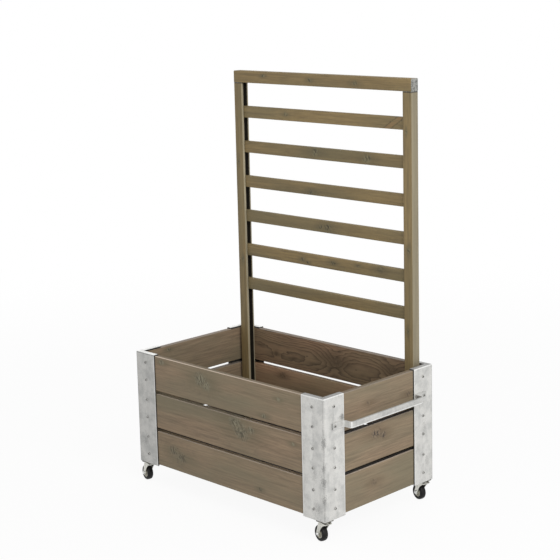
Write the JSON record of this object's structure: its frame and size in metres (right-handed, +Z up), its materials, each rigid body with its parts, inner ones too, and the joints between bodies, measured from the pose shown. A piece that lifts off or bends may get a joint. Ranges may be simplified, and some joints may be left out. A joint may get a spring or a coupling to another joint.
{
  "type": "rolling planter",
  "caption": "Slatted wooden box planter with folded steel corners, a strap handle at one end, swivel casters and a slatted trellis standing at the back.",
  "frame": {"origin": "on the ground, under the middle of the box in plan", "axes": "+X along the long front towards the handle, +Y to the back where the trellis stands, +Z up"},
  "size_m": [0.9071, 0.509, 1.354],
  "materials": {
    "stained_wood": "grey-brown stained softwood, matt",
    "olive_wood": "olive-brown impregnated softwood, matt",
    "galvanised_steel": "hot-dip galvanised sheet, mottled matt grey",
    "zinc_steel": "zinc-plated steel",
    "bearing_steel": "bright steel",
    "hub_plastic": "grey moulded plastic",
    "tyre_rubber": "black rubber"
  },
  "bodies": {
    "planter": {"front_board_low": "stained_wood", "front_board_mid": "stained_wood", "front_board_top": "stained_wood", "rear_board_low": "stained_wood", "rear_board_mid": "stained_wood", "rear_board_top": "stained_wood", "left_board_low": "stained_wood", "left_board_mid": "stained_wood", "left_board_top": "stained_wood", "right_board_low": "stained_wood", "right_board_mid": "stained_wood", "right_board_top": "stained_wood", "corner_bracket_front_left": "galvanised_steel", "corner_bracket_front_right": "galvanised_steel", "corner_bracket_rear_left": "galvanised_steel", "corner_bracket_rear_right": "galvanised_steel", "corner_screws": "zinc_steel", "handle": "galvanised_steel", "bearer_front": "stained_wood", "bearer_rear": "stained_wood", "floor_slat_1": "stained_wood", "floor_slat_2": "stained_wood", "floor_slat_3": "stained_wood", "floor_slat_4": "stained_wood", "floor_slat_5": "stained_wood", "floor_slat_6": "stained_wood", "floor_screws": "zinc_steel", "trellis_post_left": "olive_wood", "trellis_post_right": "olive_wood", "trellis_top_rail": "olive_wood", "trellis_slat_1": "olive_wood", "trellis_slat_2": "olive_wood", "trellis_slat_3": "olive_wood", "trellis_slat_4": "olive_wood", "trellis_slat_5": "olive_wood", "trellis_slat_6": "olive_wood", "trellis_screws": "zinc_steel", "caster_plate_front_left": "zinc_steel", "caster_plate_front_right": "zinc_steel", "caster_plate_rear_left": "zinc_steel", "caster_plate_rear_right": "zinc_steel", "caster_rivets": "zinc_steel", "caster_kingpins": "zinc_steel", "swivel_balls": "bearing_steel"},
    "fork_front_left": {"caster_fork_front_left": "zinc_steel", "caster_axle_front_left": "bearing_steel"},
    "wheel_front_left": {"wheel_hub_front_left": "hub_plastic", "wheel_tyre_front_left": "tyre_rubber"},
    "fork_front_right": {"caster_fork_front_right": "zinc_steel", "caster_axle_front_right": "bearing_steel"},
    "wheel_front_right": {"wheel_hub_front_right": "hub_plastic", "wheel_tyre_front_right": "tyre_rubber"},
    "fork_rear_left": {"caster_fork_rear_left": "zinc_steel", "caster_axle_rear_left": "bearing_steel"},
    "wheel_rear_left": {"wheel_hub_rear_left": "hub_plastic", "wheel_tyre_rear_left": "tyre_rubber"},
    "fork_rear_right": {"caster_fork_rear_right": "zinc_steel", "caster_axle_rear_right": "bearing_steel"},
    "wheel_rear_right": {"wheel_hub_rear_right": "hub_plastic", "wheel_tyre_rear_right": "tyre_rubber"}
  },
  "joints": [
    {"name": "swivel_front_left", "type": "hinge", "parent": "planter", "child": "fork_front_left", "pos_m": [-0.403, -0.2305, 0.064], "axis": [0, 0, 1], "continuous": true},
    {"name": "roll_front_left", "type": "hinge", "parent": "fork_front_left", "child": "wheel_front_left", "pos_m": [-0.42249, -0.226, 0.025], "axis": [-0.225, -0.9744, 0], "continuous": true},
    {"name": "swivel_front_right", "type": "hinge", "parent": "planter", "child": "fork_front_right", "pos_m": [0.403, -0.2305, 0.064], "axis": [0, 0, 1], "continuous": true},
    {"name": "roll_front_right", "type": "hinge", "parent": "fork_front_right", "child": "wheel_front_right", "pos_m": [0.38351, -0.226, 0.025], "axis": [-0.225, -0.9744, 0], "continuous": true},
    {"name": "swivel_rear_left", "type": "hinge", "parent": "planter", "child": "fork_rear_left", "pos_m": [-0.403, 0.2305, 0.064], "axis": [0, 0, 1], "continuous": true},
    {"name": "roll_rear_left", "type": "hinge", "parent": "fork_rear_left", "child": "wheel_rear_left", "pos_m": [-0.42249, 0.235, 0.025], "axis": [-0.225, -0.9744, 0], "continuous": true},
    {"name": "swivel_rear_right", "type": "hinge", "parent": "planter", "child": "fork_rear_right", "pos_m": [0.403, 0.2305, 0.064], "axis": [0, 0, 1], "continuous": true},
    {"name": "roll_rear_right", "type": "hinge", "parent": "fork_rear_right", "child": "wheel_rear_right", "pos_m": [0.38351, 0.235, 0.025], "axis": [-0.225, -0.9744, 0], "continuous": true}
  ]
}
